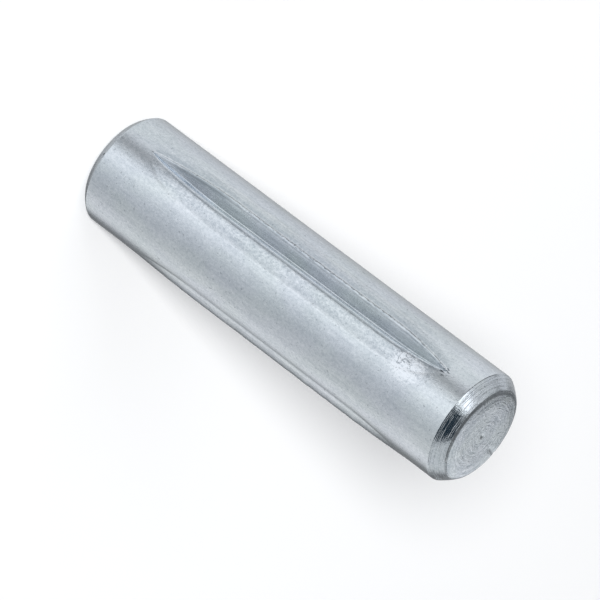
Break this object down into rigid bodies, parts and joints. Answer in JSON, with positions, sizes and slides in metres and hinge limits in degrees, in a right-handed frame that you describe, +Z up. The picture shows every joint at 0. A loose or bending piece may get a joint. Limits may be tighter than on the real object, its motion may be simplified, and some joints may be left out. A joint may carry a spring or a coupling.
{
  "type": "grooved pin",
  "caption": "Round steel pin with flat chamfered ends and straight pressed grooves along most of its length, each between raised crests, for driving into a drilled hole.",
  "frame": {"origin": "centre of the lower end face, on the pin's axis", "axes": "+Z up along the pin's axis, towards the end with the longer chamfer; one groove faces -Y and the other two lie 120 degrees either way round"},
  "size_m": [0.0096, 0.0097, 0.0381],
  "materials": {
    "zinc_plated_steel": "satin zinc plating over cold-worked steel, pale and slightly blue, with fine turning marks on the end faces and chamfers"
  },
  "bodies": {
    "root": {"grooved_pin": "zinc_plated_steel"}
  },
  "joints": []
}
